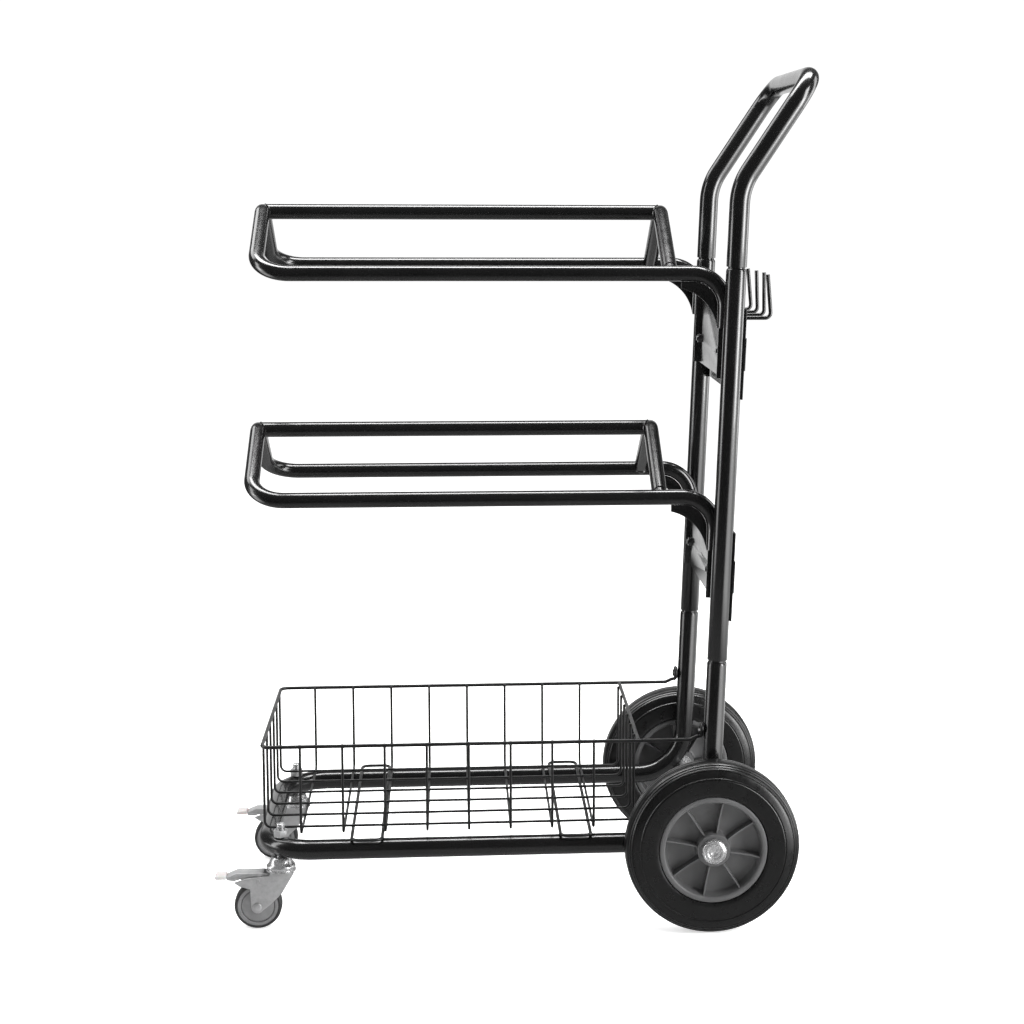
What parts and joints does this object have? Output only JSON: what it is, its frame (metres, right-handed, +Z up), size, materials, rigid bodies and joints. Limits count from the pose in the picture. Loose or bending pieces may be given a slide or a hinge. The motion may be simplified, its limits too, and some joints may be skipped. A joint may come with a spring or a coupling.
{
  "type": "saddle rack cart",
  "caption": "Rolling tube-frame rack cart with stacked cantilever saddle racks, a wire basket, large rear wheels and braked swivel casters in front.",
  "frame": {"origin": "on the floor, in the middle of the footprint's length and width", "axes": "+X towards the push handle and the large wheels, +Y to the right of a person pushing the cart towards -X, +Z up"},
  "size_m": [0.8936, 0.5194, 1.2749],
  "materials": {
    "black_coat": "gloss",
    "black_wire": "satin",
    "tyre_rubber": "matte",
    "grey_plastic": "satin",
    "caster_tread": "satin",
    "caster_core": "satin",
    "zinc": "satin",
    "white_tab": "satin"
  },
  "bodies": {
    "frame": {"axle_cap_left": "zinc", "axle_cap_right": "zinc", "axle_washer_left": "zinc", "axle_washer_right": "zinc", "base_frame_tube": "black_coat", "basket_grid": "black_wire", "basket_rim_wire": "black_wire", "basket_screw_left": "black_coat", "basket_screw_right": "black_coat", "basket_support_front": "black_wire", "basket_support_rear": "black_wire", "caster_nut_left": "zinc", "caster_nut_right": "zinc", "caster_stem_left": "zinc", "caster_stem_right": "zinc", "hook_pair_left": "black_coat", "hook_pair_right": "black_coat", "lower_rack_bolt_left": "black_coat", "lower_rack_bolt_right": "black_coat", "lower_rack_channel": "black_coat", "lower_rack_clamp_plate": "black_coat", "lower_rack_gusset_left": "black_coat", "lower_rack_gusset_right": "black_coat", "lower_rack_rails": "black_coat", "lower_rack_rear_brace": "black_coat", "lower_rack_ridge_rail": "black_coat", "mid_upright_left": "black_coat", "mid_upright_right": "black_coat", "push_handle": "black_coat", "rear_axle": "zinc", "upper_rack_bolt_left": "black_coat", "upper_rack_bolt_right": "black_coat", "upper_rack_channel": "black_coat", "upper_rack_clamp_plate": "black_coat", "upper_rack_gusset_left": "black_coat", "upper_rack_gusset_right": "black_coat", "upper_rack_rails": "black_coat", "upper_rack_rear_brace": "black_coat", "upper_rack_ridge_rail": "black_coat"},
    "rear_wheel_left": {"rear_tyre_left": "tyre_rubber", "rear_hub_left": "grey_plastic"},
    "caster_swivel_left": {"caster_fork_left": "zinc", "caster_axle_bolt_left": "zinc"},
    "caster_wheel_left": {"caster_tread_left": "caster_tread", "caster_core_left": "caster_core"},
    "caster_brake_left": {"brake_pedal_left": "zinc", "brake_tab_left": "white_tab"},
    "rear_wheel_right": {"rear_tyre_right": "tyre_rubber", "rear_hub_right": "grey_plastic"},
    "caster_swivel_right": {"caster_fork_right": "zinc", "caster_axle_bolt_right": "zinc"},
    "caster_wheel_right": {"caster_tread_right": "caster_tread", "caster_core_right": "caster_core"},
    "caster_brake_right": {"brake_pedal_right": "zinc", "brake_tab_right": "white_tab"}
  },
  "joints": [
    {"name": "rear_wheel_left_spin", "type": "hinge", "parent": "frame", "child": "rear_wheel_left", "pos_m": [0.28909, -0.2238, 0.13], "axis": [0, 1, 0], "continuous": true},
    {"name": "caster_left_swivel", "type": "hinge", "parent": "frame", "child": "caster_swivel_left", "pos_m": [-0.34982, -0.16011, 0.0885], "axis": [0, 0, 1], "continuous": true},
    {"name": "caster_left_roll", "type": "hinge", "parent": "caster_swivel_left", "child": "caster_wheel_left", "pos_m": [-0.38422, -0.16011, 0.0352], "axis": [0, 1, 0], "continuous": true},
    {"name": "caster_left_brake", "type": "hinge", "parent": "caster_swivel_left", "child": "caster_brake_left", "pos_m": [-0.38282, -0.16011, 0.0745], "axis": [0, 1, 0], "range_deg": [-8, 0]},
    {"name": "rear_wheel_right_spin", "type": "hinge", "parent": "frame", "child": "rear_wheel_right", "pos_m": [0.28909, 0.2238, 0.13], "axis": [0, 1, 0], "continuous": true},
    {"name": "caster_right_swivel", "type": "hinge", "parent": "frame", "child": "caster_swivel_right", "pos_m": [-0.34982, 0.16011, 0.0885], "axis": [0, 0, 1], "continuous": true},
    {"name": "caster_right_roll", "type": "hinge", "parent": "caster_swivel_right", "child": "caster_wheel_right", "pos_m": [-0.38422, 0.16011, 0.0352], "axis": [0, 1, 0], "continuous": true},
    {"name": "caster_right_brake", "type": "hinge", "parent": "caster_swivel_right", "child": "caster_brake_right", "pos_m": [-0.38282, 0.16011, 0.0745], "axis": [0, 1, 0], "range_deg": [-8, 0]}
  ]
}
